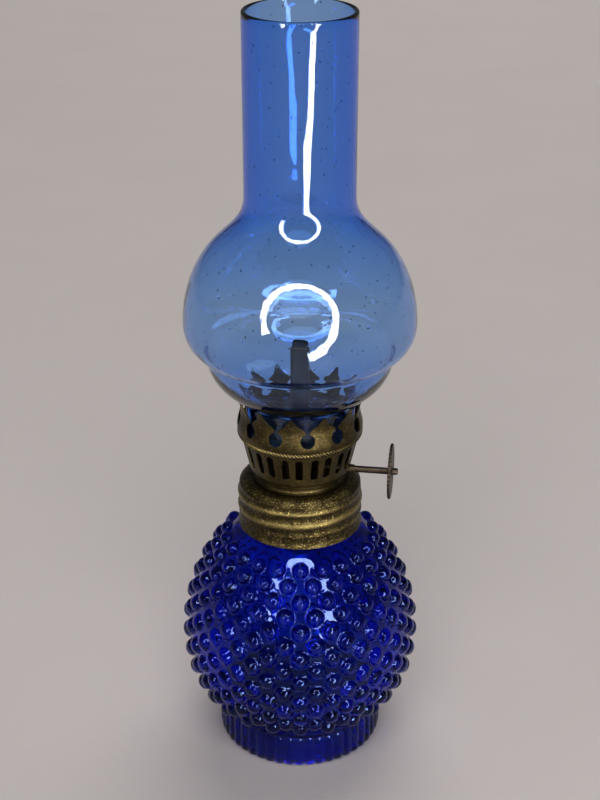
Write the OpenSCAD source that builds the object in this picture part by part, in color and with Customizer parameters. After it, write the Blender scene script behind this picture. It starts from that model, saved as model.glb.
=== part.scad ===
// Miniature oil lamp: a hobnail glass font, a brass screw-on burner and a glass chimney.
// Millimetres, +Z up. The origin is the centre of the foot, on the surface the lamp stands on.

/* [Font] */
// Radius of the smooth glass at its widest
font_r = 30.8; // [30:0.1:32]
// Height of the widest point
font_mid_z = 32.5; // [31:0.5:34]
// Radius of the foot over its ribs
foot_r = 22.6; // [22:0.1:23.4]
// Height of the foot
foot_h = 10; // [9:0.5:10.5]
// Ribs around the foot
foot_ribs = 48; // [24:4:60]
// Depth of the grooves between the ribs
rib_depth = 0.7; // [0.3:0.1:1]
// Thickness of the font glass
font_wall = 3; // [2.8:0.1:3.4]
// Height where the shoulder meets the neck
shoulder_z = 66; // [65.5:0.1:66.2]

/* [Hobnails] */
// Hobnails in each row
hobnails = 22; // [16:1:22]
// Rows of hobnails, counted down from the shoulder
hobnail_rows = 15; // [8:1:15]
// Width of a hobnail on the widest row
hobnail_w = 4.7; // [3.6:0.1:4.8]
// How far a hobnail stands out
hobnail_h = 2; // [1.6:0.1:2.2]

/* [Neck and cap] */
// Outer radius of the neck
neck_r = 14.3; // [14:0.1:14.4]
// Radius of the neck's opening
neck_bore_r = 11; // [10.5:0.1:11.2]
// Height of the neck's rim
neck_top_z = 78.6; // [78.4:0.1:78.8]
// Outer radius of the cap's skirt
cap_r = 16.1; // [16.05:0.05:16.4]
// Height the rolled thread stands out
thread_h = 0.45; // [0.2:0.05:0.5]
// Rise of the thread for one turn
thread_pitch = 3.9; // [3.5:0.1:4.2]
// Thickness of the gasket
gasket_t = 1; // [0.8:0.1:1.1]

/* [Burner] */
// Thickness of the burner's brass sheet
sheet = 0.4; // [0.3:0.05:0.45]
// Radius of the slotted cup at its rim
cup_r = 15; // [14.9:0.05:15.1]
// Pairs of air slots, one pair under each prong
prongs = 12; // [12:1:12]
// Width of an air slot
slot_w = 1.5; // [1:0.1:1.7]
// Width of the round end of a keyhole
keyhole_w = 3.3; // [2.4:0.1:3.6]
// Height of the tips of the prongs
prong_top_z = 104.3; // [104:0.1:105]

/* [Wick and raiser] */
// Width of the wick tube
tube_w = 5.1; // [4.9:0.1:5.4]
// Depth of the wick tube
tube_d = 2.6; // [2.6:0.05:2.8]
// Height of the top of the wick tube
tube_top_z = 116.6; // [114:0.1:118]
// Height of the top of the wick at rest
wick_top_z = 119; // [118.5:0.1:120]
// Radius of the spindle
spindle_r = 0.9; // [0.8:0.05:0.9]
// Height of the spindle
spindle_z = 84.2; // [84:0.1:84.3]
// Radius of the thumb knob
knob_r = 7.3; // [6:0.1:7.5]
// How far the spindle's end is from the lamp's axis
spindle_reach = 26.2; // [25.9:0.1:28]

/* [Chimney] */
// Outer radius of the chimney's foot, inside the prongs
fitter_r = 14.4; // [14.2:0.05:14.5]
// Largest radius of the bulb
bulb_r = 29.8; // [29:0.1:31]
// Outer radius of the straight tube
stem_r = 13.9; // [13.5:0.1:14.2]
// Thickness of the chimney glass
chimney_wall = 1.2; // [1:0.1:1.3]
// Height of the chimney's mouth, and of the whole lamp
lamp_h = 203; // [190:1:210]

/* [Hidden] */
$fn = 72;
foot_groove_r = foot_r - rib_depth;
foot_hollow_r = 17;
foot_hollow_h = 5.5;
floor_t = 2.5;
shoulder_r = 15.8;
arc_steps = 9;

// Centre of the arc that is upright at the widest point and passes through (r, font_mid_z + dz)
function arc_centre(r, dz) = (r * r + dz * dz - font_r * font_r) / (2 * (r - font_r));
low_dz = foot_h + 0.5 - font_mid_z;
high_dz = shoulder_z - font_mid_z;
low_c = arc_centre(foot_groove_r, low_dz);
high_c = arc_centre(shoulder_r, high_dz);

// Point of the font glass at a distance s up the surface from the widest point, moved out by d
function font_angle(s) = s * 180 / PI / (font_r - (s < 0 ? low_c : high_c));
function font_point(s, d) = let (c = s < 0 ? low_c : high_c, a = font_angle(s))
    [c + (font_r - c + d) * cos(a), font_mid_z + (font_r - c + d) * sin(a)];

// Arc about (c, font_mid_z) of radius r between the heights dz0 and dz1 from its centre
function arc(c, r, dz0, dz1) = [for (i = [0:arc_steps])
    let (a = asin(dz0 / r) + (asin(dz1 / r) - asin(dz0 / r)) * i / arc_steps)
    [c + r * cos(a), font_mid_z + r * sin(a)]];

// Smooth curve through p0 and p3, leaving towards p1 and arriving from p2, moved left by d
function curve(p0, p1, p2, p3, d = 0, n = 8) = [for (i = [0:n]) let (t = i / n, u = 1 - t,
    p = u*u*u*p0 + 3*u*u*t*p1 + 3*u*t*t*p2 + t*t*t*p3,
    v = u*u*(p1 - p0) + 2*u*t*(p2 - p1) + t*t*(p3 - p2))
    p + d * [-v[1], v[0]] / norm(v)];
function reverse(list) = [for (i = [len(list) - 1:-1:0]) list[i]];

// Rows close up a little towards the foot
first_row_s = 31.9;
row_step = 4.15;
row_closing = 0.045;
function row_s(k) = first_row_s - row_step * k + row_closing * k * k;

// Cap
cap_bottom_z = shoulder_z + 0.35;
cap_top_z = neck_top_z + gasket_t + sheet;
cap_round = 2.6;
cap_hole_r = 9;
thread_z = 70.9;
thread_half = 1.4;
cap_lip_h = 0.9;
neck_bead_r = cap_r - sheet - 0.15;

// Burner
ferrule_r = 11.6;
ferrule_h = 2.6;
plate_z = cap_top_z + 1;
cup_z = cap_top_z + ferrule_h;
cup_foot_r = 12.3;
cup_h = 10;
slot_z = cup_z + 3;
slot_h = 6.4;
slot_spread = 7;
rope_r = 0.75;
rope_z = cup_z + cup_h + rope_r;
crown_waist_z = 99.5;
crown_waist_r = 15.3;
crown_tip_r = 16.7;
keyhole_z = 97.2;
notch_w = 0.9;
lobe_z = prong_top_z - 2.9;
prong_pitch = 2 * PI * crown_tip_r / prongs;
air_plate_z = rope_z + 0.15;
vent_hole_r = 0.55;
vent_rings = [[6, 10], [9, 14], [12, 18]];
plate_vent = [7, 3];

// Wick tube, raiser and wick
tube_wall = 0.3;
wick_gap = 0.15;
wick_w = tube_w - 2 * tube_wall - 2 * wick_gap;
wick_d = tube_d - 2 * tube_wall - 2 * wick_gap;
wick_len = 99;
tooth_gap = 0.07;
wheel_r = 1.98;
wheel_root_r = 1.5;
wheel_t = 1.4;
wheel_x = 1.3;
teeth = 12;
spindle_y = -(wick_d / 2 + tooth_gap + wheel_r);
spindle_back = 4.8;
running_gap = 0.05;
housing_w = 7.6;
housing_y = spindle_y - 2.6;
housing_h = 5.4;
housing_back_y = -0.3;
housing_web_y = -1.6;
housing_slot = 1.2;
bushing_x = 9.2;
bushing_len = 5.6;
bushing_r = 1.15;
collar_r = 1.5;
collar_t = 1.1;
collar_gap = 0.1;
knob_t = 0.9;
knob_x = spindle_reach - 1.4 - knob_t;
knob_notches = 40;
knob_notch = 0.25;

// Chimney
fitter_z = air_plate_z + sheet + 0.1;
flare_z = 103.2;
crease = [24.4, 116.9];
bulb_z = 124.5;
neck_in = [21.3, 146];
stem_z = 158;

glass_blue = [0.10, 0.16, 0.52];
chimney_blue = [0.55, 0.62, 0.85, 0.6];
brass = [0.52, 0.44, 0.26];
dark_brass = [0.34, 0.28, 0.20];
cotton = [0.80, 0.76, 0.68];

// Flat oval of the given width and depth, lying along X
module oval(w, d) {
    union() {
        square([w - d, d], center = true);
        for (side = [-1, 1]) translate([side * (w - d) / 2, 0]) circle(d = d);
    }
}

// Ring between two radii
module ring(r_out, r_in, h) {
    difference() {
        cylinder(r = r_out, h = h);
        translate([0, 0, -1]) cylinder(r = r_in, h = h + 2);
    }
}

// Lays a part made along Z onto the spindle, starting at x
module on_spindle(x) {
    translate([x, spindle_y, spindle_z]) rotate([0, 90, 0]) children();
}

// Pressed glass font: ribbed hollow foot, hobnail body and threaded neck
module font() {
    bead = 0.9;
    color(glass_blue) difference() {
        union() {
            linear_extrude(foot_h) polygon([for (i = [0:4 * foot_ribs - 1])
                let (a = i * 90 / foot_ribs, r = foot_r - rib_depth * (1 - abs(cos(i * 45)))) r * [cos(a), sin(a)]]);
            rotate_extrude() polygon(concat([[0, foot_h - 1], [foot_groove_r - 1, foot_h - 1]],
                arc(low_c, font_r - low_c, low_dz, 0),
                [for (i = [1:arc_steps]) arc(high_c, font_r - high_c, 0, high_dz)[i]],
                [[neck_r, shoulder_z + 0.3]],
                [for (k = [0, 1], c = [[0, -bead], [1, -bead / 2], [1, bead / 2], [0, bead]])
                    [c[0] == 0 ? neck_r : neck_bead_r, thread_z + k * thread_pitch + c[1]]],
                [[neck_r, neck_top_z], [0, neck_top_z]]));
            for (k = [0:hobnail_rows - 1]) hobnail_row(row_s(k), k % 2);
        }
        rotate_extrude() polygon(concat([[0, foot_h + floor_t]],
            arc(low_c, font_r - low_c - font_wall, foot_h + floor_t - font_mid_z, 0),
            [for (i = [1:arc_steps]) arc(high_c, font_r - high_c - font_wall, 0, high_dz)[i]],
            [[neck_bore_r, shoulder_z + 0.5], [neck_bore_r, neck_top_z + 1], [0, neck_top_z + 1]]));
        translate([0, 0, -1]) cylinder(r = foot_hollow_r, h = foot_hollow_h + 1);
    }
}

// One row of hobnails at the distance s up the font, every other row half a step round
module hobnail_row(s, stagger) {
    w = hobnail_w * (1 + font_point(s, 0)[0] / font_r) / 2;
    r = (w * w / 4 + hobnail_h * hobnail_h) / (2 * hobnail_h);
    p = font_point(s, hobnail_h - r);
    for (i = [0:hobnails - 1]) rotate((i + stagger / 2) * 360 / hobnails)
        translate([p[0], 0, p[1]]) sphere(r = r, $fn = 24);
}

// Soft ring between the neck's rim and the cap
module neck_gasket() {
    color([0.18, 0.16, 0.15]) translate([0, 0, neck_top_z]) ring(neck_r - 0.9, neck_bore_r + 0.2, gasket_t);
}

// Spun brass cap with a rolled thread, open in the middle for the wick
function thread_bump(z) = thread_h * max([for (k = [0, 1])
    let (d = abs(z - thread_z - k * thread_pitch)) d < thread_half ? cos(90 * d / thread_half) : 0]);
function cap_wall(inset) = [for (i = [0:24])
    let (z = cap_bottom_z + cap_lip_h + (cap_top_z - cap_round - cap_bottom_z - cap_lip_h) * i / 24)
    [cap_r - inset + thread_bump(z), z]];
function cap_corner(inset) = [for (a = [15:15:75])
    [cap_r - cap_round + (cap_round - inset) * cos(a), cap_top_z - cap_round + (cap_round - inset) * sin(a)]];
module screw_cap() {
    color(brass) rotate_extrude() polygon(concat(
        [[cap_r - sheet, cap_bottom_z], [cap_r + thread_h, cap_bottom_z], [cap_r + thread_h, cap_bottom_z + 0.5]],
        cap_wall(0), cap_corner(0),
        [[cap_r - cap_round, cap_top_z], [cap_hole_r, cap_top_z],
         [cap_hole_r, cap_top_z - sheet], [cap_r - cap_round, cap_top_z - sheet]],
        reverse(cap_corner(sheet)), reverse(cap_wall(sheet))));
}

// Short ring that joins the cap to the burner
module burner_ferrule() {
    color(brass) translate([0, 0, cap_top_z]) union() {
        ring(ferrule_r, ferrule_r - sheet, ferrule_h);
        ring(ferrule_r + 0.7, ferrule_r - sheet, sheet);
    }
}

// Disc that closes the ferrule round the wick tube, with two small vents
module base_plate() {
    color(dark_brass) translate([0, 0, plate_z]) difference() {
        cylinder(r = ferrule_r - sheet, h = sheet);
        translate([0, 0, -1]) linear_extrude(sheet + 2) oval(tube_w, tube_d);
        for (side = [-1, 1]) translate([side * plate_vent[0], plate_vent[1], -1])
            cylinder(r = vent_hole_r, h = sheet + 2);
    }
}

// Slotted cup that lets air in under the flame
module air_cup() {
    color(brass) difference() {
        rotate_extrude() polygon([[ferrule_r - 1.2, cup_z], [cup_foot_r, cup_z], [cup_foot_r + 0.6, cup_z + 0.7],
            [cup_r, cup_z + cup_h], [cup_r - sheet, cup_z + cup_h], [cup_foot_r + 0.6 - sheet, cup_z + 0.9],
            [cup_foot_r - 0.3, cup_z + sheet], [ferrule_r - 1.2, cup_z + sheet]]);
        for (k = [0:prongs - 1], side = [-1, 1]) rotate(k * 360 / prongs + side * slot_spread)
            translate([0, 0, slot_z]) union() {
                translate([cup_r - 4, -slot_w / 2, 0]) cube([8, slot_w, slot_h - slot_w / 2]);
                translate([cup_r - 4, 0, slot_h - slot_w / 2]) rotate([0, 90, 0]) cylinder(d = slot_w, h = 8);
            }
        on_spindle(bushing_x - 1) cylinder(r = bushing_r, h = bushing_len + 2);
    }
}

// Crown of spring prongs that grips the chimney, with keyholes between and a beaded hem
module crown_gallery() {
    hem = [cup_r - 0.1, cup_z + cup_h];
    low = [crown_waist_r + 0.1, rope_z + 0.3];
    waist = [crown_waist_r, crown_waist_z];
    tip = [crown_tip_r, prong_top_z];
    belly = [[17.1, rope_z + 1.5], [crown_waist_r + 0.35, crown_waist_z - 2]];
    lean = [[crown_waist_r - 0.25, crown_waist_z + 1.5], [crown_tip_r - 0.8, prong_top_z - 1.2]];
    color(brass) difference() {
        union() {
            rotate_extrude() polygon(concat([hem], curve(low, belly[0], belly[1], waist),
                curve(waist, lean[0], lean[1], tip, n = 5),
                reverse(curve(waist, lean[0], lean[1], tip, sheet, n = 5)),
                reverse(curve(low, belly[0], belly[1], waist, sheet)), [hem - [sheet, 0]]));
            translate([0, 0, rope_z]) rotate_extrude() translate([cup_r + 0.1, 0]) circle(r = rope_r, $fn = 32);
        }
        translate([0, 0, rope_z - 2]) cylinder(r = cup_r - 0.15 - sheet / 2, h = 3.5);
        for (k = [0:prongs - 1]) rotate((k + 0.5) * 360 / prongs) prong_gap();
    }
}

// The keyhole and the notch between two prongs, cut outwards from the axis
function notch_side(side) = [for (p = [[keyhole_w * 0.42, keyhole_z + 0.8], [notch_w / 2, keyhole_z + 3],
    [notch_w / 2, lobe_z - 0.4], [prong_pitch * 0.2, lobe_z + 0.2], [prong_pitch * 0.3, lobe_z + 0.9],
    [prong_pitch * 0.4, lobe_z + 1.9], [prong_pitch * 0.47, prong_top_z + 0.2]]) [side * p[0], p[1]]];
module prong_gap() {
    rotate([90, 0, 90]) translate([0, 0, cup_r - 5]) linear_extrude(9) union() {
        translate([0, keyhole_z]) circle(d = keyhole_w, $fn = 32);
        polygon(concat(notch_side(1), reverse(notch_side(-1))));
    }
}

// Pierced disc that spreads the draught and carries the chimney
module air_plate() {
    color(dark_brass) translate([0, 0, air_plate_z]) difference() {
        cylinder(r = cup_r - 0.15 - sheet / 2, h = sheet);
        translate([0, 0, -1]) linear_extrude(sheet + 2) oval(tube_w, tube_d);
        for (ring = vent_rings, i = [0:ring[1] - 1]) rotate(i * 360 / ring[1])
            translate([ring[0], 0, -1]) cylinder(r = vent_hole_r, h = sheet + 2);
    }
}

// Flat oval tube that guides the wick, with two windows for the wheels
module wick_tube() {
    color([0.50, 0.50, 0.52]) difference() {
        translate([0, 0, plate_z]) linear_extrude(tube_top_z - plate_z) oval(tube_w, tube_d);
        translate([0, 0, plate_z - 1]) linear_extrude(tube_top_z - plate_z + 2)
            oval(tube_w - 2 * tube_wall, tube_d - 2 * tube_wall);
        for (side = [-1, 1]) translate([side * wheel_x - wheel_t / 2 - 0.15, -tube_d, spindle_z - 2.2])
            cube([wheel_t + 0.3, tube_d, 4.4]);
    }
}

// Bracket on the front of the wick tube that carries the inner end of the spindle
module wheel_housing() {
    color(dark_brass) difference() {
        translate([0, 0, plate_z + sheet]) linear_extrude(housing_h) difference() {
            translate([-housing_w / 2, housing_y]) square([housing_w, housing_back_y - housing_y]);
            translate([-housing_w / 2 + sheet, housing_y + sheet])
                square([housing_w - 2 * sheet, housing_web_y - housing_y - sheet]);
            translate([-tube_w / 2, -2]) square([tube_w, housing_slot]);
            oval(tube_w, tube_d);
        }
        on_spindle(-6) cylinder(r = spindle_r + running_gap, h = 12);
    }
}

// Flanged bearing for the spindle in the wall of the cup
module spindle_bushing() {
    color(dark_brass) on_spindle(bushing_x) difference() {
        cylinder(r = bushing_r, h = bushing_len);
        translate([0, 0, -1]) cylinder(r = spindle_r + running_gap, h = bushing_len + 2);
    }
}

// Spindle that turns the wheels
module spindle() {
    color(dark_brass) on_spindle(-spindle_back) cylinder(r = spindle_r, h = spindle_back + spindle_reach);
}

// Two toothed wheels that bite into the wick
module spur_wheels() {
    color(brass) for (side = [-1, 1]) on_spindle(side * wheel_x - wheel_t / 2) difference() {
        linear_extrude(wheel_t) polygon([for (i = [0:2 * teeth - 1])
            (i % 2 == 0 ? wheel_r : wheel_root_r) * [cos(i * 180 / teeth), sin(i * 180 / teeth)]]);
        translate([0, 0, -1]) cylinder(r = spindle_r, h = wheel_t + 2);
    }
}

// Collar that stops the spindle from pulling out
module thrust_collar() {
    color(brass) on_spindle(bushing_x - collar_gap - collar_t) ring(collar_r, spindle_r, collar_t);
}

// Flat thumb knob with a milled edge, fixed on the spindle near its end
module thumb_knob() {
    color(dark_brass) on_spindle(knob_x) difference() {
        linear_extrude(knob_t) polygon([for (i = [0:2 * knob_notches - 1])
            (knob_r - knob_notch * (i % 2)) * [cos(i * 180 / knob_notches), sin(i * 180 / knob_notches)]]);
        translate([0, 0, -1]) cylinder(r = spindle_r, h = knob_t + 2);
    }
}

// Woven cotton wick, from above the tube down into the font
module wick() {
    color(cotton) translate([0, 0, wick_top_z - wick_len]) linear_extrude(wick_len) oval(wick_w, wick_d);
}

// Blown glass chimney: straight foot, flared cup, sharp crease, bulb and tall stem
function chimney_side(d) = concat(
    [[fitter_r - d, fitter_z]],
    curve([fitter_r, flare_z], [fitter_r + 1, flare_z + 1.8], crease - [0.5, 10], crease, d),
    curve(crease, crease + [2.6, 0.4], [bulb_r, bulb_z - 4], [bulb_r, bulb_z], d, n = 6),
    curve([bulb_r, bulb_z], [bulb_r, bulb_z + 9], neck_in + [5, -4.8], neck_in, d),
    curve(neck_in, neck_in + [-4.1, 3.9], [stem_r, stem_z - 5.5], [stem_r, stem_z], d),
    [[stem_r - d, lamp_h]]);
module chimney() {
    color(chimney_blue) rotate_extrude() polygon(concat(chimney_side(0), reverse(chimney_side(chimney_wall))));
}

font();
neck_gasket();
screw_cap();
burner_ferrule();
base_plate();
air_cup();
crown_gallery();
air_plate();
wick_tube();
wheel_housing();
spindle_bushing();
spindle();
spur_wheels();
thrust_collar();
thumb_knob();
wick();
chimney();
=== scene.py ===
import math

import bmesh
import bpy
import numpy as np
from mathutils import Matrix, Vector


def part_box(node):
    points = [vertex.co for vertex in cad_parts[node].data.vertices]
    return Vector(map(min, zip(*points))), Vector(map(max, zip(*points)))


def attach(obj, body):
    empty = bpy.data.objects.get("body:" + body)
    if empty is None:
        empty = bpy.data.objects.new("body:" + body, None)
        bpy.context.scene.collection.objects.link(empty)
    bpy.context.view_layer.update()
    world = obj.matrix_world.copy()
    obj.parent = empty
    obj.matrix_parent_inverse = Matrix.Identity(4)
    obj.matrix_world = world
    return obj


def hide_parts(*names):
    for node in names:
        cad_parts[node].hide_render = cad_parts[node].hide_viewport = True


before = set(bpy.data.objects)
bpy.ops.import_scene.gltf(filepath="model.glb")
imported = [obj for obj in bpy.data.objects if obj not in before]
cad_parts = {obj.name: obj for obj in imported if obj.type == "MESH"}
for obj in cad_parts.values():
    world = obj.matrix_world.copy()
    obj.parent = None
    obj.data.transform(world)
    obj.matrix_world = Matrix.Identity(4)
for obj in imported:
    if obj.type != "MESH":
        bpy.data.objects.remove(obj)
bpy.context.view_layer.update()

# ---------------------------------------------------------------- Font
# The font is pressed cobalt glass, thick and hollow, with rows of hobnails over a ribbed foot. Every
# other row sits half a step round. The foot is hollow underneath, the neck is threaded, and a thin
# film of oil dulls the inside.

MM = 0.001
TURN = 2 * math.pi

glass_r = 30.8
glass_mid_z = 32.5
foot_r = 22.6
foot_top_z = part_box("font")[0].z / MM + 10
foot_ribs = 48
rib_depth = 0.7
shoulder_r, shoulder_z = 15.8, 66.0
glass_wall = 3.0
neck_r, neck_bore_r = 14.3, 11.0
neck_top_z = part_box("neck_gasket")[0].z / MM
hobnails, hobnail_rows = 22, 15
hobnail_w, hobnail_h = 4.8, 1.75
top_row_s, row_step, row_crowding = 31.9, 4.15, 0.045
thread_pitch, thread_z = 3.9, 70.9
thread_low_z, thread_high_z = 67.6, 77.9


class Wire:
    """An output socket that Python's own operators work on: each one adds its Math node."""

    def __init__(self, finish, socket):
        self.finish, self.socket = finish, socket

    def __add__(self, other):
        return self.finish.math("ADD", self, other)

    def __sub__(self, other):
        return self.finish.math("SUBTRACT", self, other)

    def __rsub__(self, other):
        return self.finish.math("SUBTRACT", other, self)

    def __mul__(self, other):
        return self.finish.math("MULTIPLY", self, other)

    def __truediv__(self, other):
        return self.finish.math("DIVIDE", self, other)

    def __pow__(self, other):
        return self.finish.math("POWER", self, other)

    def __abs__(self):
        return self.finish.math("ABSOLUTE", self)

    __radd__, __rmul__ = __add__, __mul__

    def clamped(self):
        return self.finish.node("Clamp", {}, {"Value": self})

    def above(self, low, high):
        """Rises smoothly from 0 at low to 1 at high."""
        return self.finish.node(
            "MapRange", {"interpolation_type": "SMOOTHSTEP"},
            {"Value": self, "From Min": low, "From Max": high})


class Finish:
    """A material in the making. Places are in millimetres from the centre of the foot."""

    def __init__(self, name):
        self.material = bpy.data.materials.new(name)
        self.material.use_nodes = True
        self.tree = self.material.node_tree
        self.tree.nodes.clear()
        self.place = self.vector("SCALE", self.node("TexCoord", out="Object"), Scale=1 / MM)

    def node(self, kind, settings=(), values=(), out=0):
        made = self.tree.nodes.new("ShaderNode" + kind)
        for key, value in dict(settings).items():
            setattr(made, key, value)
        for key, value in dict(values).items():
            if isinstance(value, Wire):
                self.tree.links.new(value.socket, made.inputs[key])
            else:
                made.inputs[key].default_value = value
        return Wire(self, made.outputs[out])

    def math(self, operation, first, second=0.0):
        return self.node("Math", {"operation": operation}, {0: first, 1: second})

    def vector(self, operation, first, second=None, **values):
        named = {0: first, **values}
        if second is not None:
            named[1] = second
        out = "Value" if operation in ("LENGTH", "DISTANCE", "DOT_PRODUCT") else "Vector"
        return self.node("VectorMath", {"operation": operation}, named, out)

    def mix(self, share, first, second):
        as_colour = [c if isinstance(c, Wire) else (*c, 1) for c in (first, second)]
        return self.node("Mix", {"data_type": "RGBA"}, {0: share, 6: as_colour[0], 7: as_colour[1]}, 2)

    def height(self):
        """Height above the floor in millimetres."""
        return self.node("SeparateXYZ", {}, {0: self.place}, "Z")

    def from_axis(self):
        """Distance from the middle axis in millimetres."""
        return self.vector("LENGTH", self.vector("MULTIPLY", self.place, (1, 1, 0)))

    def noise(self, grain, detail=3.0, stretch=(1, 1, 1), roughness=0.5):
        """Noise of about the given grain in millimetres, from 0 to 1."""
        where = self.vector("MULTIPLY", self.place, tuple(s / grain for s in stretch))
        values = {"Vector": where, "Scale": 1.0, "Detail": detail, "Roughness": roughness}
        return self.node("TexNoise", {}, values)

    def bump(self, height, depth):
        return self.node("Bump", {}, {"Height": height, "Strength": 1.0, "Distance": depth * MM})

    def shader(self, **values):
        return self.node("BsdfPrincipled", {}, {k.replace("_", " "): v for k, v in values.items()})

    def output(self, surface, **others):
        end = self.tree.nodes.new("ShaderNodeOutputMaterial")
        for key, value in {"Surface": surface, **others}.items():
            self.tree.links.new(value.socket, end.inputs[key])


def revolve(name, rings, columns=192, loop=False, sharp=40):
    """A mesh turned about Z from rings of (r, z), each a number or an array round the turn, in mm."""
    angle = np.arange(columns) * TURN / columns
    spots = np.empty((len(rings), columns, 3))
    for row, (r, z) in enumerate(rings):
        spots[row] = np.stack([r * np.cos(angle), r * np.sin(angle), z + 0 * angle], 1)
    return grid_mesh(name, spots, loop, sharp)


def grid_mesh(name, spots, loop=False, sharp=40):
    """A mesh from rings of places in mm. With loop, the last ring joins the first."""
    rows, columns = spots.shape[:2]
    index = np.arange(rows * columns).reshape(rows, columns)
    low = index if loop else index[:-1]
    high = np.roll(index, -1, 0) if loop else index[1:]
    faces = np.stack([low, np.roll(low, -1, 1), np.roll(high, -1, 1), high], -1).reshape(-1, 4)
    mesh = bpy.data.meshes.new(name)
    mesh.from_pydata((spots.reshape(-1, 3) * MM).tolist(), [], faces.tolist())
    return finished(name, mesh, sharp)


def finished(name, mesh, sharp=40):
    """Welds a new mesh, turns its faces outwards, smooths it and puts it in the scene."""
    form = bmesh.new()
    form.from_mesh(mesh)
    bmesh.ops.remove_doubles(form, verts=form.verts, dist=1e-7)
    bmesh.ops.dissolve_degenerate(form, edges=form.edges, dist=1e-8)
    bmesh.ops.recalc_face_normals(form, faces=form.faces)
    form.to_mesh(mesh)
    form.free()
    mesh.shade_smooth()
    mesh.set_sharp_from_angle(angle=math.radians(sharp))
    piece = bpy.data.objects.new(name, mesh)
    bpy.context.collection.objects.link(piece)
    return piece


def fit(piece, body, slot, material, *nodes):
    """Gives a new piece its finish and body, in place of the CAD nodes it stands for."""
    piece.data.materials.append(material)
    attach(piece, body)
    if nodes:
        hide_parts(*nodes)


def arc_centre(r, dz):
    """Radius of the centre of the side's arc that ends at r, dz above the widest point."""
    return (r * r + dz * dz - glass_r ** 2) / (2 * (r - glass_r))


low_c = arc_centre(foot_r - rib_depth, foot_top_z + 0.5 - glass_mid_z)
high_c = arc_centre(shoulder_r, shoulder_z - glass_mid_z)


def font_side(s, out):
    """Place on the side of the font, s up from the widest point, moved out by an amount."""
    c = np.where(s < 0, low_c, high_c)
    a = s / (glass_r - c)
    return c + (glass_r - c + out) * np.cos(a), glass_mid_z + (glass_r - c + out) * np.sin(a)


def arc_length(c, dz):
    """Length of the side's arc from the widest point up to dz."""
    return (glass_r - c) * math.asin(dz / (glass_r - c))


low_s = arc_length(low_c, foot_top_z + 0.5 - glass_mid_z)
high_s = arc_length(high_c, shoulder_z - glass_mid_z)
row_s = [top_row_s - row_step * k + row_crowding * k * k for k in range(hobnail_rows)]

font_columns = 792
around = np.arange(font_columns) * TURN / font_columns


def hobnail_height(s):
    """How far the glass stands out round one ring of the font: domes that run softly into the side."""
    height = np.zeros(font_columns)
    step = TURN / hobnails
    for k, middle in enumerate(row_s):
        w = hobnail_w * (1 + font_side(middle, 0)[0] / glass_r) / 2
        if abs(s - middle) < w:
            off = (around - (k % 2) * step / 2 + step / 2) % step - step / 2
            away = np.hypot(off * font_side(s, 0)[0], s - middle)
            away /= w / 2
            inside = np.minimum(away, 1)
            rise = 1 - 0.62 * inside ** 2 - 0.38 * inside ** 6 - 3.5 * (away - inside)
            height = np.maximum(height, hobnail_h * (rise + np.sqrt(rise ** 2 + 0.05)) / 2.03)
    return height


ribs = rib_depth * (1 - np.abs(np.cos(foot_ribs / 2 * around)) ** 0.8)
font_rings = [(0, 5.5), (14.5, 5.5), (16.2, 5.2), (16.9, 4.2), (17, 0.6), (17.4, 0.1), (18.2, 0)]
font_rings += [(20.6 - 0.3 * ribs, 0), (21.6 - 0.8 * ribs, 0.25), (foot_r - 0.25 - ribs, 1.0)]
font_rings += [(foot_r - ribs, z) for z in (2.2, 4, 6, 8)]
font_rings += [(foot_r - 0.2 - ribs * 0.9, foot_top_z - 0.6), (foot_r - 0.75 - ribs * 0.4, foot_top_z)]
for s in np.linspace(low_s + 0.25, high_s - 0.9, 236):
    font_rings.append(font_side(s, hobnail_height(s)))
font_rings += [(15.75, shoulder_z + 0.1), (14.9, shoulder_z + 0.45), (neck_r, shoulder_z + 0.9)]
for z in np.arange(thread_low_z, thread_high_z, 0.35):
    turn_z = (z - thread_z + thread_pitch * around / TURN + thread_pitch / 2) % thread_pitch - thread_pitch / 2
    fade = np.clip(min(z - thread_low_z, thread_high_z - z) / 1.2, 0, 1)
    ridge = np.clip(np.cos(np.pi * turn_z / 2.4), 0, 1) * (np.abs(turn_z) < 1.2)
    font_rings.append((neck_r + fade * ridge, z))
font_rings += [(neck_r - 0.15, neck_top_z - 0.3), (neck_r - 0.5, neck_top_z), (neck_bore_r + 0.5, neck_top_z)]
font_rings += [(neck_bore_r + 0.1, neck_top_z - 0.4), (neck_bore_r, 76), (neck_bore_r, 70), (neck_bore_r, 66.8)]
for s in np.linspace(high_s - 0.5, low_s + 3.2, 34):
    font_rings.append(font_side(s, -glass_wall))
font_rings += [(17.5, 13.1), (15.5, 12.6), (8, 12.5), (0, 12.5)]

font = revolve("font_glass", font_rings, font_columns, sharp=70)

cobalt = Finish("cobalt_glass")
ripple = cobalt.noise(9, 1.0)
streak = cobalt.noise(16, 2.0, (1, 1, 0.45)).above(0.35, 0.7)
up = cobalt.height() - glass_mid_z
centre = up.above(-0.1, 0.1) * (high_c - low_c) + low_c
from_centre = ((cobalt.from_axis() - centre) ** 2.0 + up * up) ** 0.5
oil_film = 1 - (from_centre + centre).above(glass_r - 2.2, glass_r - 1.2)
cobalt_surface = cobalt.shader(
    Base_Color=cobalt.mix(streak, (0.02, 0.10, 0.46), (0.08, 0.46, 0.84)),
    Roughness=cobalt.noise(1.4, 3.0).above(0.6, 0.85) * 0.04 + 0.005 + oil_film * 0.05,
    IOR=1.42, Transmission_Weight=1.0, Specular_Tint=(0.36, 0.52, 1.0, 1), Normal=cobalt.bump(ripple, 0.12))
cobalt_depth = cobalt.node("VolumeAbsorption", {}, {"Color": (0.0, 0.40, 0.95, 1), "Density": 700.0})
cobalt.output(cobalt_surface, Volume=cobalt_depth)
fit(font, "font", "cobalt_glass", cobalt.material, "font")

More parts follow.
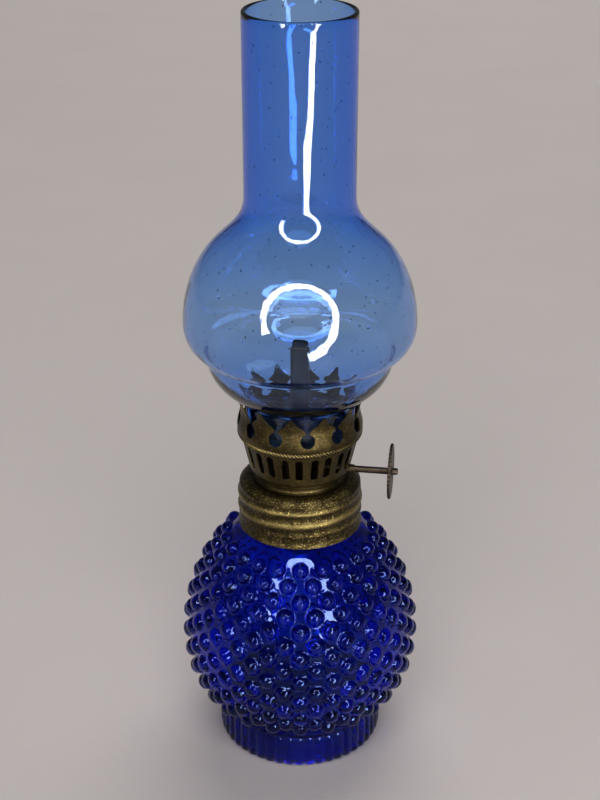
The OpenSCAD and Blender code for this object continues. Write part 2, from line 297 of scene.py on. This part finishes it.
# ---------------------------------------------------------------- Neck gasket
# A plain soft ring under the cap keeps the oil in. It is black rubber, dulled and a little cracked.

gasket = Finish("gasket_rubber")
crackle = gasket.node(
    "TexVoronoi", {"feature": "DISTANCE_TO_EDGE"}, {"Vector": gasket.place, "Scale": 1.1}, "Distance")
gasket.output(gasket.shader(
    Base_Color=gasket.mix(gasket.noise(1.2, 4.0), (0.03, 0.028, 0.026), (0.075, 0.068, 0.06)),
    Roughness=gasket.noise(0.8) * 0.25 + 0.6, Normal=gasket.bump(crackle.above(0.0, 0.12), 0.05)))


def paint(material, *nodes):
    """Gives CAD nodes that keep their own shape a new finish."""
    for node in nodes:
        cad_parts[node].data.materials.clear()
        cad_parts[node].data.materials.append(material)


paint(gasket.material, "neck_gasket")

# ---------------------------------------------------------------- Screw cap
# Spun from thin sheet brass, with the thread rolled into its skirt as one rising ridge.
# The brass has gone olive brown, with grime and painted shade in the grooves and metal showing on the crests.


def brass_finish(name, worn, patina, grime_and_shade, crest, groove=None, grain=0.7):
    """Old sheet brass: crest is where it is rubbed bright, groove where dirt has stayed and where shade is
    painted in, 0 to 1.
    """
    brass = Finish(name)
    crest, groove = crest(brass), groove(brass) if groove else brass.noise(5, 2.0) * 0.2
    blotch = brass.noise(3.2, 5.0, roughness=0.62).above(0.36, 0.66)
    speck = brass.noise(0.42, 3.0).above(0.56, 0.66)
    pit = brass.noise(0.5, 3.0, (1, 1, 0.7)).above(0.62, 0.70)
    rubbed = (crest * 0.42 + blotch * 0.22 + speck * 0.6 - 0.10).clamped()
    colour = brass.mix(rubbed, patina, worn)
    # Painted shade with dirt: the groove mask darkens the brass towards the darkest colour in its recesses.
    colour = brass.mix((groove * 0.75 + pit * 0.5).clamped(), colour, grime_and_shade)
    brass.output(brass.shader(
        Base_Color=colour, Metallic=1.0 - pit * 0.5,
        Roughness=(0.42 - rubbed * 0.16 + blotch * 0.06 + pit * 0.25).clamped(),
        Normal=brass.bump(brass.noise(0.45, 3.0) * grain + brass.noise(2.6, 2.0) * 0.8 - pit * 0.5, 0.08)))
    return brass.material


# The darkest brass colour serves both the soot and the shade painted into grooves.
gold, olive, soot_and_shade = (0.40, 0.31, 0.11), (0.030, 0.022, 0.008), (0.008, 0.006, 0.003)

cap_r = 16.1
ridge_h = 0.55
shoulder_bend, shoulder_bead = 2.6, 0.22
hole_r = 9.0
sheet = 0.4
cap_low_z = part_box("screw_cap")[0].z / MM
cap_top_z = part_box("screw_cap")[1].z / MM
cap_columns = 256
cap_turn = np.arange(cap_columns) * TURN / cap_columns


def rolled_thread(z):
    """Height of the rolled thread round the skirt at one height. It dies away at both ends."""
    lean = (z - thread_z - thread_pitch * cap_turn / TURN + thread_pitch * 0.25) / thread_pitch
    wave = 0.5 + 0.5 * np.cos(TURN * lean)
    low_end, high_end = (z - cap_low_z - 2.8) / 1.5, (77.6 - z) / 1.2
    return ridge_h * wave ** 1.3 * np.clip(low_end, 0, 1) * np.clip(high_end, 0, 1)


def cap_section(inset):
    """The cap's section from its rolled lip up over the shoulder to the middle hole."""
    rings = [(cap_r + 0.35 - inset * 1.2, cap_low_z + 0.5), (cap_r + 0.15 - inset, cap_low_z + 0.95)]
    rings += [(cap_r - inset + rolled_thread(z), z) for z in np.arange(cap_low_z + 1.4, 77.5, 0.22)]
    for a in np.radians(np.arange(6, 90, 7)):
        bend = shoulder_bend + shoulder_bead * np.exp(-((a - 0.42) / 0.22) ** 2) - inset
        rings.append((cap_r - shoulder_bend + bend * np.cos(a), cap_top_z - shoulder_bend + bend * np.sin(a)))
    return rings + [(r, cap_top_z - inset - 0.02 * abs(r - 12.6)) for r in (13.2, 12.6, 12.0, 10.8, 9.4)]


cap_rings = [(cap_r + 0.1 - sheet, cap_low_z + 0.12), (cap_r + 0.2, cap_low_z), (cap_r + 0.4, cap_low_z + 0.15)]
cap_rings += cap_section(0)
cap_rings += [(hole_r + 0.05, cap_top_z - 0.1), (hole_r, cap_top_z - 0.2), (hole_r + 0.05, cap_top_z - 0.34)]
cap_rings += cap_section(sheet)[::-1]
screw_cap = revolve("screw_cap_brass", cap_rings, cap_columns, loop=True, sharp=60)


def cap_crest(brass):
    """Rubbed along the rolled thread, but not on the lip."""
    above_lip = brass.height().above(cap_low_z + 1.0, cap_low_z + 2.4)
    return brass.from_axis().above(cap_r + 0.1, cap_r + ridge_h) * above_lip


def cap_groove_shade_and_dirt(brass):
    """Painted shade and dirt: darker between the turns of the thread and round the ferrule."""
    out = brass.from_axis()
    near_ring = 1 - abs(out - 12.3).above(0.0, 1.3)
    return near_ring * 0.9 + (1 - out.above(cap_r - 0.05, cap_r + 0.12)) * out.above(15.5, 15.9) * 0.55


cap_brass = brass_finish("cap_brass", gold, olive, soot_and_shade, cap_crest, cap_groove_shade_and_dirt, 2.6)
fit(screw_cap, "burner", "aged_brass", cap_brass, "screw_cap")

# ---------------------------------------------------------------- Ferrule and the parts inside
# A short turned-over ring of sheet brass joins the cap to the burner. The plates, bracket, bearing,
# wheels and collar inside stay out of sight and keep their plain shapes, in dull brass.

ferrule_r = 11.6
ferrule_low_z, ferrule_top_z = (c.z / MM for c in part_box("burner_ferrule"))
ferrule_rings = [(ferrule_r + out, ferrule_low_z + up) for out, up in (
    (-sheet, 0.05), (0.55, 0), (0.68, 0.12), (0.68, 0.3), (0.5, 0.42), (0.15, 0.5), (0, 0.75), (0, 1.5),
    (0.12, 1.9))]
ferrule_rings += [(ferrule_r + 0.1, ferrule_top_z - 0.15), (ferrule_r, ferrule_top_z)]
ferrule_rings.append((ferrule_r - sheet, ferrule_top_z))
ferrule = revolve("burner_ferrule_brass", ferrule_rings, 144, loop=True, sharp=50)


def sheet_crest(brass):
    """Plain sheet is rubbed in broad uneven patches."""
    return brass.noise(7, 3.0, (1, 1, 0.6)).above(0.42, 0.7) * 0.6


burner_brass = brass_finish(
    "burner_brass", (0.165, 0.122, 0.045), (0.036, 0.027, 0.010), soot_and_shade, sheet_crest)
fit(ferrule, "burner", "aged_brass", burner_brass, "burner_ferrule")

dark_brass = brass_finish(
    "dark_brass", (0.12, 0.085, 0.05), (0.04, 0.03, 0.018), (0.012, 0.01, 0.008), sheet_crest)
paint(dark_brass, "base_plate", "air_plate", "wheel_housing", "spindle_bushing")
paint(burner_brass, "spur_wheels", "thrust_collar")

# ---------------------------------------------------------------- Slotted air cup
# Pressed from one sheet, with a slot pierced each side of every prong to let in air.
# Its foot is turned in over the ferrule.

prongs = 12
slot_w = 1.9
slot_low_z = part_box("air_cup")[0].z / MM + 3
slot_top_z = slot_low_z + 6.4
slot_spread = math.radians(7)


def pierced_sheet(name, side, heights, gaps, half_gap, across, thickness, edge=0.05):
    """Sheet metal round Z with gaps through it, built strip by strip between the gaps' centres.

    side(z) is the radius, half_gap(z) half a gap's width in mm. Strips meet where it is 0.
    """
    strips = []
    for first, second in zip(gaps, gaps[1:] + [gaps[0] + TURN]):
        middle, reach = (first + second) / 2, (second - first) / 2
        rows = []
        for z in heights:
            r = side(z)
            half = max(reach - half_gap(z) / r, 0.0)
            angle = middle + np.linspace(-1, 1, across) * half
            rows.append(np.stack([r * np.cos(angle), r * np.sin(angle), z + 0 * angle], 1))
        strips.append(grid_strip(np.array(rows)))
    places = np.concatenate([s[0] for s in strips])
    step = len(strips[0][0])
    faces = np.concatenate([s[1] + i * step for i, s in enumerate(strips)])
    mesh = bpy.data.meshes.new(name)
    mesh.from_pydata((places * MM).tolist(), [], faces.tolist())
    form = bmesh.new()
    form.from_mesh(mesh)
    bmesh.ops.remove_doubles(form, verts=form.verts, dist=2e-6)
    bmesh.ops.dissolve_degenerate(form, edges=form.edges, dist=1e-6)
    form.to_mesh(mesh)
    form.free()
    piece = finished(name, mesh)
    thick = piece.modifiers.new("thickness", "SOLIDIFY")
    thick.thickness, thick.offset, thick.use_even_offset = thickness * MM, -1, False
    soft = piece.modifiers.new("edges", "BEVEL")
    soft.width, soft.segments = edge * MM, 2
    soft.limit_method, soft.angle_limit = "ANGLE", math.radians(50)
    return set_shape(piece)


def grid_strip(places):
    """Places and faces of one open strip."""
    rows, columns = places.shape[:2]
    index = np.arange(rows * columns).reshape(rows, columns)
    faces = np.stack([index[:-1, :-1], index[:-1, 1:], index[1:, 1:], index[1:, :-1]], -1).reshape(-1, 4)
    return places.reshape(-1, 3), faces


def set_shape(piece, sharp=50):
    """Turns a piece's modifiers into plain mesh."""
    made = bpy.data.meshes.new_from_object(piece.evaluated_get(bpy.context.evaluated_depsgraph_get()))
    piece.modifiers.clear()
    piece.data = made
    made.shade_smooth()
    made.set_sharp_from_angle(angle=math.radians(sharp))
    return piece


def spread(*stops):
    """Heights from stop to stop, each given as (height, steps to it)."""
    heights = [stops[0][0]]
    for (low, _), (high, steps) in zip(stops, stops[1:]):
        heights += list(np.linspace(low, high, steps + 1)[1:])
    return heights


cup_low_z, cup_top_z = (c.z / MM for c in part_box("air_cup"))
cup_r = 15.0


def cup_side(z):
    """The cup flares upwards from a turned-in foot."""
    return float(np.interp(z, [cup_low_z, cup_low_z + 0.25, cup_low_z + 0.6, cup_low_z + 1.0, cup_top_z],
        [11.5, 12.15, 12.6, 12.95, cup_r]))


def half_slot(z):
    """Half the width of a slot: round at the top, nearly square at the bottom."""
    top = slot_top_z - slot_w / 2
    if z < slot_low_z or z > slot_top_z:
        return 0.0
    if z > top:
        return math.sqrt(max((slot_w / 2) ** 2 - (z - top) ** 2, 0))
    return slot_w / 2 - max(0.3 - (z - slot_low_z), 0)


slots = sorted((k * TURN / prongs + side * slot_spread) % TURN for k in range(prongs) for side in (-1, 1))
cup_heights = spread((cup_low_z, 0), (cup_low_z + 1.0, 8), (slot_low_z - 0.01, 4), (slot_low_z, 1),
    (slot_low_z + 0.3, 3), (slot_top_z - slot_w / 2, 8), (slot_top_z - 0.25, 6), (slot_top_z, 5),
    (cup_top_z, 2))
air_cup = pierced_sheet("air_cup_brass", cup_side, cup_heights, slots, half_slot, 9, sheet)
fit(air_cup, "burner", "aged_brass", burner_brass, "air_cup")

# ---------------------------------------------------------------- Crown gallery
# Twelve sprung prongs hold the chimney. Each is a leaf with a tip bent out, cut from one ring of
# sheet brass with a keyhole between each pair, above a hem rolled like rope.

hem_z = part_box("crown_gallery")[0].z / MM + 0.45
tip_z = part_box("crown_gallery")[1].z / MM
keyhole_z, keyhole_r = 97.75, 1.85


def bezier(p0, p1, p2, p3, count):
    """Places along a curve from p0 to p3 that leaves towards p1 and arrives from p2."""
    t = np.linspace(0, 1, count)[:, None]
    p0, p1, p2, p3 = (np.array(p, float) for p in (p0, p1, p2, p3))
    return (1 - t) ** 3 * p0 + 3 * (1 - t) ** 2 * t * p1 + 3 * (1 - t) * t ** 2 * p2 + t ** 3 * p3


crown_curve = np.concatenate([bezier((15.2, hem_z), (17.0, 94.9), (15.7, 97.4), (15.35, 99.5), 20),
    bezier((15.35, 99.5), (15.1, 101), (15.7, 102.6), (16.66, tip_z), 14)[1:]])


def crown_side(z):
    """Radius of the prongs at one height."""
    return float(np.interp(z, crown_curve[:, 1], crown_curve[:, 0]))


def half_keyhole(z):
    """Half the gap between two prongs: a round hole, a narrow neck, then open to the tips."""
    low = keyhole_z - keyhole_r
    if z <= low:
        return 0.0
    if z <= keyhole_z + 1.78:
        return math.sqrt(keyhole_r ** 2 - (z - keyhole_z) ** 2)
    pitch = TURN * crown_side(z) / prongs / 2
    edge = [(99.5, 0.5), (99.9, 0.45), (100.3, 0.62), (100.8, 0.98), (101.3, 1.55), (101.7, 2.15),
        (102.1, 2.6), (102.7, 3.0), (103.3, 3.35), (103.8, 3.7), (tip_z, pitch - 0.12)]
    return float(np.interp(z, *zip(*edge)))


gaps = [(k + 0.5) * TURN / prongs for k in range(prongs)]
crown_heights = spread((hem_z, 0), (keyhole_z - keyhole_r - 0.02, 5), (keyhole_z - keyhole_r, 1),
    (keyhole_z - keyhole_r + 0.12, 3), (keyhole_z - 1, 4), (keyhole_z + 1, 8), (99.53, 6), (100.3, 4),
    (102.1, 8), (103.3, 8), (tip_z - 0.3, 4), (tip_z, 3))
crown = pierced_sheet("crown_prongs_brass", crown_side, crown_heights, gaps, half_keyhole, 17, sheet * 0.85)
fit(crown, "burner", "aged_brass", burner_brass, "crown_gallery")

rope_r, rope_half, rope_cut, rope_strands = 15.5, 1.0, 0.48, 108
rope_z = hem_z + 0.7
rope_columns = rope_strands * 8
rope_turn = np.arange(rope_columns) * TURN / rope_columns
rope_rings = []
for a in np.arange(20) * TURN / 20:
    ridge = rope_cut * (np.abs(np.sin(rope_strands / 2 * rope_turn + 0.9 * np.sin(a) * np.pi)) ** 0.8 - 1)
    thick = rope_half + ridge * max(math.cos(a), 0) ** 0.4
    rope_rings.append((rope_r + thick * math.cos(a), rope_z + thick * math.sin(a)))
rope = revolve("rope_hem_brass", rope_rings, rope_columns, loop=True, sharp=80)


def rope_groove_shade_and_dirt(brass):
    """Painted shade and dirt: all but the outermost face of the strands is darkened, the grooves between them
    too.
    """
    return 1 - brass.from_axis().above(rope_r + 0.6, rope_r + 0.9)


rope_brass = brass_finish("rope_brass", gold, (0.13, 0.10, 0.04), soot_and_shade, sheet_crest, rope_groove_shade_and_dirt)
fit(rope, "burner", "aged_brass", rope_brass)

# ---------------------------------------------------------------- Wick tube
# A flat oval tube of tinned sheet, dulled by heat and smoked near the top.

tube_top_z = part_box("wick_tube")[1].z / MM
tinned = Finish("tinned_tube")
smoke = tinned.height().above(tube_top_z - 16, tube_top_z) * 0.55 + tinned.noise(2.4, 4.0) * 0.4
tinned.output(tinned.shader(
    Base_Color=tinned.mix(smoke, (0.075, 0.075, 0.08), (0.014, 0.012, 0.012)), Metallic=0.9,
    Roughness=tinned.noise(1.1, 3.0, (1, 1, 0.2)) * 0.3 + 0.32,
    Normal=tinned.bump(tinned.noise(0.5, 2.0, (1, 1, 0.08)), 0.03)))
paint(tinned.material, "wick_tube")

# ---------------------------------------------------------------- Spindle and knob
# The spindle is plain round rod, rounded at its end, in a bearing through a hole drilled in the cup.
# The knob is a thin stamped disc with a milled edge and two pressed rings, pressed on to the rod.

rod_r, bearing_hole_r = 0.9, 1.2
spindle_y, spindle_z = (c / MM + rod_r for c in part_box("spindle")[0].yz)
spindle_end, spindle_tip = (c.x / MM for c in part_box("spindle"))
knob_low_x, knob_high_x = (c.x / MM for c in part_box("thumb_knob"))


def lay_along_x(piece):
    """Turns a piece made about Z so that it lies along the spindle."""
    for v in piece.data.vertices:
        x, y, z = v.co
        v.co = (z, y + spindle_y * MM, spindle_z * MM - x)
    form = bmesh.new()
    form.from_mesh(piece.data)
    bmesh.ops.recalc_face_normals(form, faces=form.faces)
    form.to_mesh(piece.data)
    form.free()


rod_rings = [(0, spindle_end), (rod_r - 0.12, spindle_end), (rod_r, spindle_end + 0.12)]
rod_rings += [(rod_r - 0.02 * (i % 2), spindle_end + 0.4 + i * 1.3) for i in range(23)]
rod_rings += [(rod_r, spindle_tip - 0.25), (rod_r - 0.1, spindle_tip - 0.06), (rod_r - 0.3, spindle_tip)]
rod_rings += [(0.35, spindle_tip), (0.25, spindle_tip - 0.08), (0, spindle_tip - 0.1)]
spindle = revolve("spindle_rod", rod_rings, 40, sharp=50)
lay_along_x(spindle)
drill = revolve("drill", [(0, 10), (bearing_hole_r, 10), (bearing_hole_r, 16), (0, 16)], 48)
lay_along_x(drill)
hole = air_cup.modifiers.new("hole", "BOOLEAN")
hole.object, hole.solver = drill, "EXACT"
set_shape(air_cup)
bpy.data.objects.remove(drill)

spindle_bronze = brass_finish(
    "spindle_bronze", (0.085, 0.062, 0.042), (0.032, 0.024, 0.017), (0.012, 0.01, 0.008), sheet_crest)
fit(spindle, "raiser", "dark_brass", spindle_bronze, "spindle")

knob_r, knob_mid_x = 7.3, (knob_low_x + knob_high_x) / 2
knob_notches = 40
knob_columns = knob_notches * 8
milling = 0.22 * (0.5 - 0.5 * np.cos(knob_notches * np.arange(knob_columns) * TURN / knob_columns))


def knob_face(side):
    """One face of the stamped disc from the rod out to the milled edge."""
    stamp = [(rod_r, 0.45), (1.5, 0.45), (1.8, 0.28), (2.6, 0.22), (2.9, 0.30), (3.3, 0.32), (3.7, 0.24),
        (5.2, 0.20), (5.5, 0.28), (5.9, 0.30), (6.2, 0.22), (6.7, 0.26), (7.0, 0.36),
        (knob_r - 0.06 - milling, 0.3), (knob_r - milling, 0.15)]
    return [(r, knob_mid_x + side * h) for r, h in stamp]


knob = revolve("thumb_knob_disc", knob_face(-1) + knob_face(1)[::-1], knob_columns, loop=True, sharp=45)
lay_along_x(knob)
fit(knob, "raiser", "dark_brass", spindle_bronze, "thumb_knob")

# ---------------------------------------------------------------- Wick
# Flat woven cotton that fills the tube. The top is charred black and ragged, and below the char it is
# scorched brown. The tail hangs in the font.

wick_low, wick_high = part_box("wick")
wick_w, wick_d = (wick_high.x - wick_low.x) / MM, (wick_high.y - wick_low.y) / MM
wick_top_z = wick_high.z / MM
wick_gap, head_spread = 0.06, 0.09
wick_columns = 96
wick_turn = np.arange(wick_columns) * TURN / wick_columns
shape_x = np.sign(np.cos(wick_turn)) * np.abs(np.cos(wick_turn)) ** 0.45
shape_y = np.sign(np.sin(wick_turn)) * np.abs(np.sin(wick_turn)) ** 0.6
chance = np.random.default_rng(7)
frayed = chance.uniform(0.6, 1.0, wick_columns)
wick_grid = []
for z in spread((wick_low.z / MM, 0), (tube_top_z - 1, 60), (tube_top_z + 0.2, 4), (wick_top_z - 0.9, 10)):
    over = np.clip((z - tube_top_z) / 1.5, 0, 1) * head_spread
    rough = over * (frayed - 0.8) * 1.6
    weave = 0.05 * np.cos(z * TURN / 0.9) * (1 - over * 2)
    half_w = wick_w / 2 - wick_gap + over + rough + weave * 0.5
    half_d = wick_d / 2 - wick_gap + over * 0.8 + rough + weave * 0.3
    wick_grid.append(np.stack([shape_x * half_w, shape_y * half_d, z + 0 * wick_turn], 1))
for shrink, drop in ((0.97, 0.62), (0.9, 0.42), (0.78, 0.26), (0.6, 0.16), (0.36, 0.1), (0.0, 0.06)):
    ragged = chance.uniform(-0.28, 0.0, wick_columns) * (shrink > 0)
    top = wick_top_z - drop + ragged
    wick_grid.append(np.stack([shape_x * half_w * shrink, shape_y * half_d * shrink, top], 1))
wick_grid.insert(0, wick_grid[0] * (0, 0, 1))
wick = grid_mesh("wick_cotton", np.array(wick_grid), sharp=60)

cotton = Finish("wick_cotton")
along = cotton.height() + (cotton.noise(0.8, 3.0) - 0.5) * 1.4
weave = cotton.node("TexWave", {"wave_type": "BANDS", "bands_direction": "Z"},
    {"Vector": cotton.place, "Scale": 0.7, "Distortion": 2.0, "Detail": 1.0}, "Fac")
oiled = cotton.mix(cotton.noise(3.0, 3.0), (0.56, 0.47, 0.33), (0.34, 0.26, 0.16))
scorched = cotton.mix(along.above(tube_top_z - 2.5, tube_top_z + 0.7), oiled, (0.04, 0.018, 0.010))
cotton.output(cotton.shader(
    Base_Color=cotton.mix(along.above(tube_top_z + 0.3, tube_top_z + 1.3), scorched, (0.006, 0.005, 0.005)),
    Roughness=0.85 + cotton.noise(0.5) * 0.12,
    Normal=cotton.bump(weave * 0.6 + cotton.noise(0.22, 2.0) * 0.8, 0.12)))
fit(wick, "wick", "cotton", cotton.material, "wick")

# ---------------------------------------------------------------- Chimney
# Thin blown glass, pale blue, with small seeds and drawn-out streaks in it. The foot stands inside the
# prongs, a sharp crease parts the flared cup from the bulb, and the rim is melted round.

chimney_low, chimney_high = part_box("chimney")
foot_z, mouth_z = chimney_low.z / MM, chimney_high.z / MM
bulb_r = chimney_high.x / MM
fitter_r, stem_r, chimney_wall = 14.4, 13.9, 1.2
flare_z, crease_r, crease_z, bulb_z, stem_z = 103.2, 24.4, 116.9, 124.5, 158.0
joint_r, joint_z = 21.3, 146.0
crease = np.array((crease_r, crease_z))
chimney_line = np.concatenate([
    np.array([(fitter_r, z) for z in np.linspace(foot_z + 0.5, flare_z - 0.8, 6)]),
    bezier((fitter_r, flare_z), (fitter_r + 1, flare_z + 1.8), crease - (0.5, 10), crease, 26)[:-2],
    bezier(crease - (0.06, 1.5), crease - (0, 0.2), crease + (0.2, 0.05), crease + (1.15, 0.35), 10),
    bezier(crease, crease + (2.6, 0.4), (bulb_r, bulb_z - 4), (bulb_r, bulb_z), 18)[4:],
    bezier((bulb_r, bulb_z), (bulb_r, bulb_z + 9), (joint_r + 5, joint_z - 4.8), (joint_r, joint_z), 26)[1:],
    bezier((joint_r, joint_z), (joint_r - 4.1, joint_z + 3.9), (stem_r, stem_z - 5.5), (stem_r, stem_z),
        24)[1:],
    np.array([(stem_r, z) for z in np.linspace(stem_z, mouth_z - 0.6, 24)[1:]])])
slope = np.gradient(chimney_line, axis=0)
slope /= np.linalg.norm(slope, axis=1)[:, None]
blown_thin = np.interp(chimney_line[:, 1], (104, 114, 137, 152), (1, 0.45, 0.45, 1))[:, None]
inner_line = chimney_line + chimney_wall * blown_thin * np.stack([-slope[:, 1], slope[:, 0]], 1)
bead_r = chimney_wall / 2


def melted_edge(r, z, first, last):
    """The rounded edge at either end of the chimney, from one angle to the other."""
    turn = np.radians(np.linspace(first, last, 9))
    return list(zip(r - bead_r + bead_r * np.cos(turn), z + bead_r * np.sin(turn)))


chimney_rings = [*chimney_line, *melted_edge(stem_r, mouth_z - bead_r, 0, 180)]
chimney_rings += [*inner_line[::-1], *melted_edge(fitter_r, foot_z + bead_r, 180, 360)]
chimney = revolve("chimney_glass", chimney_rings, 160, loop=True, sharp=60)

pale_blue = Finish("chimney_glass")
streaks = pale_blue.node("TexVoronoi", {"feature": "F1"},
    {"Vector": pale_blue.vector("MULTIPLY", pale_blue.place, (0.34, 0.34, 0.11)), "Scale": 1.0}, "Distance")
seeds = pale_blue.node("TexVoronoi", {"feature": "F1"}, {"Vector": pale_blue.place, "Scale": 0.30}, "Distance")
flaw = ((1 - streaks.above(0.035, 0.06)) + (1 - seeds.above(0.05, 0.075))).clamped()
draw_lines = pale_blue.noise(3.4, 2.0, (1, 1, 0.05))
pale_surface = pale_blue.shader(
    Base_Color=pale_blue.mix(flaw, (0.93, 0.96, 1.0), (0.05, 0.07, 0.16)), Roughness=flaw * 0.2 + 0.004,
    IOR=1.46, Transmission_Weight=1.0,
    Normal=pale_blue.bump(draw_lines * 0.6 + pale_blue.noise(14, 1.0) * 1.4 - flaw * 0.6, 0.10))
pale_depth = pale_blue.node("VolumeAbsorption", {}, {"Color": (0.0, 0.50, 0.998, 1), "Density": 910.0})
pale_blue.output(pale_surface, Volume=pale_depth)
fit(chimney, "chimney", "chimney_glass", pale_blue.material, "chimney")

# ---------------------------------------------------------------- Floor, lights and camera
# A pale floor, a broad soft light overhead and behind, and a smaller one in front. A ring of light
# round the camera, open at one side, makes the bright lines in the glass.

floor_mesh = bpy.data.meshes.new("floor")
floor_mesh.from_pydata([(-6, -6, 0), (6, -6, 0), (6, 6, 0), (-6, 6, 0)], [], [(0, 1, 2, 3)])
floor = bpy.data.objects.new("floor", floor_mesh)
bpy.context.collection.objects.link(floor)
paper = Finish("pale_floor")
paper.output(paper.shader(
    Base_Color=paper.mix(paper.noise(60, 3.0), (0.50, 0.465, 0.45), (0.54, 0.50, 0.485)), Roughness=0.75,
    Normal=paper.bump(paper.noise(0.9, 3.0), 0.04)))
floor_mesh.materials.append(paper.material)

world = bpy.data.worlds.new("room")
bpy.context.scene.world = world
world.use_nodes = True
world.node_tree.nodes["Background"].inputs["Color"].default_value = (0.95, 0.97, 1.0, 1)
world.node_tree.nodes["Background"].inputs["Strength"].default_value = 0.12

turn_to_knob = math.radians(8)
camera_back, camera_h, camera_tilt = 0.3738, 0.2852, 0.456
camera_data = bpy.data.cameras.new("camera")
camera = bpy.data.objects.new("camera", camera_data)
bpy.context.collection.objects.link(camera)
camera.location = (camera_back * math.sin(turn_to_knob), -camera_back * math.cos(turn_to_knob), camera_h)
camera.rotation_euler = (math.pi / 2 - camera_tilt, 0, turn_to_knob)
camera_data.sensor_fit = "VERTICAL"
camera_data.sensor_height = 36.0
camera_data.lens = 72.0
camera_data.clip_start, camera_data.clip_end = 0.02, 20
bpy.context.scene.camera = camera

ring_r, ring_w = 0.275, 0.066
ring_parts, ring_start, ring_span = 40, math.radians(283), math.radians(284)
ring_tilt = math.radians(10)
looking = Matrix.Rotation(turn_to_knob, 3, "Z") @ Matrix.Rotation(math.pi / 2 - ring_tilt, 3, "X")
for i in range(ring_parts):
    a = ring_start + (i + 0.5) * ring_span / ring_parts
    light = bpy.data.lights.new("ring", "AREA")
    light.shape, light.size = "RECTANGLE", ring_w
    light.size_y = ring_r * ring_span / ring_parts * 1.06
    light.energy, light.color = 0.23, (1.0, 0.98, 0.96)
    lamp = bpy.data.objects.new("ring", light)
    bpy.context.collection.objects.link(lamp)
    lamp.location = camera.location + looking @ Vector((ring_r * math.cos(a), ring_r * math.sin(a), 0))
    lamp.rotation_euler = (looking @ Matrix.Rotation(a, 3, "Z")).to_euler()
    lamp.visible_camera = lamp.visible_diffuse = False

for name, size, energy, spot, lean in (
        ("overhead", 2.4, 44.0, (0.15, 1.6, 2.1), 0.0), ("fill", 1.0, 11.0, (0.1, -0.9, 1.0), 0.7)):
    soft = bpy.data.lights.new(name, "AREA")
    soft.shape, soft.size, soft.energy, soft.color = "DISK", size, energy, (1.0, 0.97, 0.95)
    lamp = bpy.data.objects.new(name, soft)
    bpy.context.collection.objects.link(lamp)
    lamp.location, lamp.rotation_euler = spot, (lean, 0, 0)
    lamp.visible_camera = lamp.visible_glossy = False

bpy.context.scene.view_settings.view_transform = "Standard"
